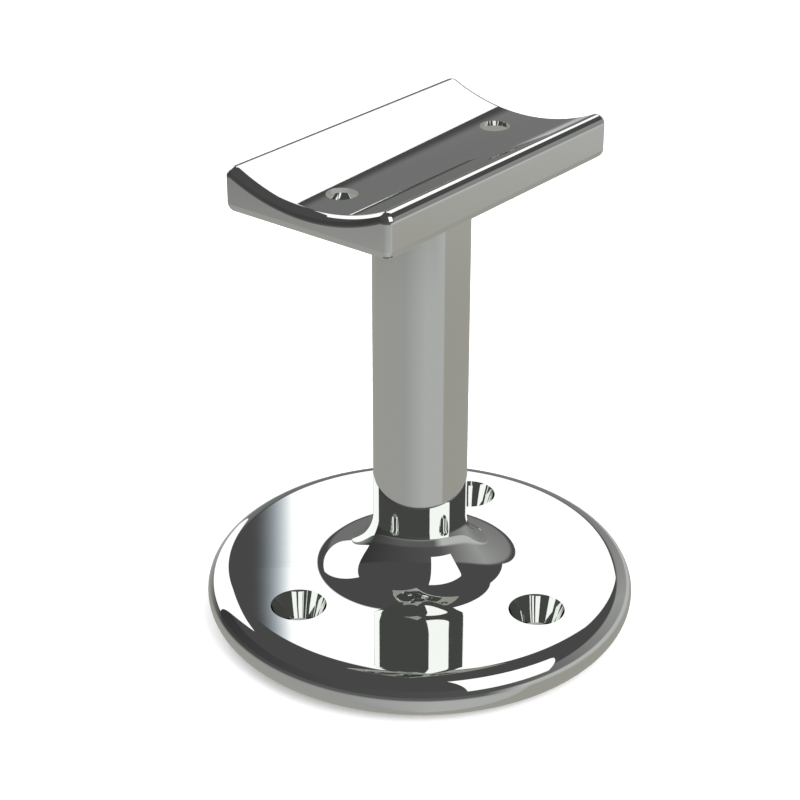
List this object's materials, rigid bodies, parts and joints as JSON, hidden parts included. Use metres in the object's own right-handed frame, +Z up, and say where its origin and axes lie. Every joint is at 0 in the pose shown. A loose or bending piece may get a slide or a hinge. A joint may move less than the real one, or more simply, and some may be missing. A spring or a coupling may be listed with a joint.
{
  "type": "handrail bracket",
  "caption": "Polished bracket that carries a round handrail: a grooved saddle on a straight round post, standing on a round flange with a flared hub and countersunk fixing holes.",
  "frame": {"origin": "centre of the flange's underside, on the post's axis", "axes": "+Z up along the post, from the flange to the saddle; +X along the handrail that lies in the saddle; the single fixing hole is at -Y and the pair at +Y"},
  "size_m": [0.0738, 0.0738, 0.0852],
  "materials": {
    "polished_chrome": "mirror polished bright chrome plating",
    "screw_steel": "plain machined stainless steel"
  },
  "bodies": {
    "root": {"base_flange": "polished_chrome", "post": "polished_chrome", "saddle": "polished_chrome", "post_screw": "screw_steel"}
  },
  "joints": []
}
